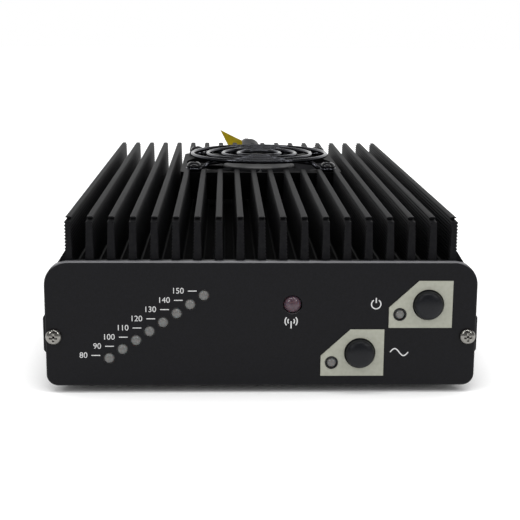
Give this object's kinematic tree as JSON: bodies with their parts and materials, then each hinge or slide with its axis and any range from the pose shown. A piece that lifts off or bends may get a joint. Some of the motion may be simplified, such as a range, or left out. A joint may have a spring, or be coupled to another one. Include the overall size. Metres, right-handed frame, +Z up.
{
  "type": "citizens band radio amplifier",
  "caption": "Flat black radio amplifier: finned heat sink over a tray, fan with wire guard let into the fins, front panel with push buttons and level lamps, power cord.",
  "frame": {"origin": "on the table under the middle of the amplifier, its cord left out", "axes": "+Z up, -Y out of the front panel, +X to the right of someone facing the front panel"},
  "size_m": [0.1506, 0.359, 0.0534],
  "materials": {
    "black_anodised": "satin black anodised",
    "panel_black": "satin black over aluminium",
    "plate_grey": "satin grey-olive",
    "button_black": "semi gloss",
    "fan_black": "moulded",
    "chrome_wire": "bright plated wire",
    "black_screw": "black oxide",
    "stainless": "bright",
    "nickel": "nickel plated",
    "insulator_white": "waxy white",
    "contact_brass": "plated",
    "rubber_black": "matt",
    "cord_grey": "matt dark grey",
    "plug_black": "moulded",
    "tag_yellow": "blank yellow film",
    "lamp_grey": "diffused",
    "lamp_mauve": "diffused",
    "board_green": "lacquered",
    "component_black": "moulded",
    "ferrite": "sintered",
    "enamelled_copper": "enamelled",
    "capacitor_can": "sleeved",
    "wire_red": "insulated",
    "cable_grey": "ribbed"
  },
  "bodies": {
    "case": {"antenna_socket_contact": "contact_brass", "antenna_socket_insulator": "insulator_white", "antenna_socket_shell": "nickel", "board_screws": "stainless", "board_standoffs": "contact_brass", "bottom_tray": "black_anodised", "capacitors": "capacitor_can", "coil_tie": "plug_black", "cord_cores": "wire_red", "cord_plug": "plug_black", "cord_tag": "tag_yellow", "fan_frame": "fan_black", "fan_guard": "chrome_wire", "fan_lead_grommet": "rubber_black", "fan_leads": "wire_red", "fan_screws": "black_screw", "fan_stator": "enamelled_copper", "filter_coils": "enamelled_copper", "flat_cable": "cable_grey", "front_board": "board_green", "front_board_screws": "stainless", "front_board_spacers": "contact_brass", "front_panel": "panel_black", "front_panel_screws": "stainless", "heat_sink": "black_anodised", "input_transformer": "ferrite", "level_leds": "lamp_grey", "main_board": "board_green", "mode_led": "lamp_grey", "mode_plate": "plate_grey", "mode_switch": "component_black", "output_transformer": "ferrite", "plug_contacts": "contact_brass", "power_cord": "cord_grey", "power_cord_coil": "cord_grey", "power_led": "lamp_grey", "power_plate": "plate_grey", "power_switch": "component_black", "radio_socket_contact": "contact_brass", "radio_socket_insulator": "insulator_white", "radio_socket_shell": "nickel", "rear_panel": "panel_black", "rear_panel_screws": "stainless", "relays": "component_black", "rf_transistors": "component_black", "rubber_feet": "rubber_black", "socket_screws": "stainless", "socket_wires": "wire_red", "strain_relief": "cord_grey", "terminal_block": "component_black", "transmit_led": "lamp_mauve"},
    "fan_rotor": {"fan_rotor": "fan_black"},
    "power_button": {"power_button": "button_black"},
    "mode_button": {"mode_button": "button_black"}
  },
  "joints": [
    {"name": "fan_spin", "type": "hinge", "parent": "case", "child": "fan_rotor", "pos_m": [0.003, 0.0323, 0.0441], "axis": [0, 0, 1], "continuous": true},
    {"name": "power_button_press", "type": "slide", "parent": "case", "child": "power_button", "axis": [0, 1, 0], "range_m": [0, 0.002], "stiffness_N_per_m": 250},
    {"name": "mode_button_press", "type": "slide", "parent": "case", "child": "mode_button", "axis": [0, 1, 0], "range_m": [0, 0.002], "stiffness_N_per_m": 250}
  ]
}
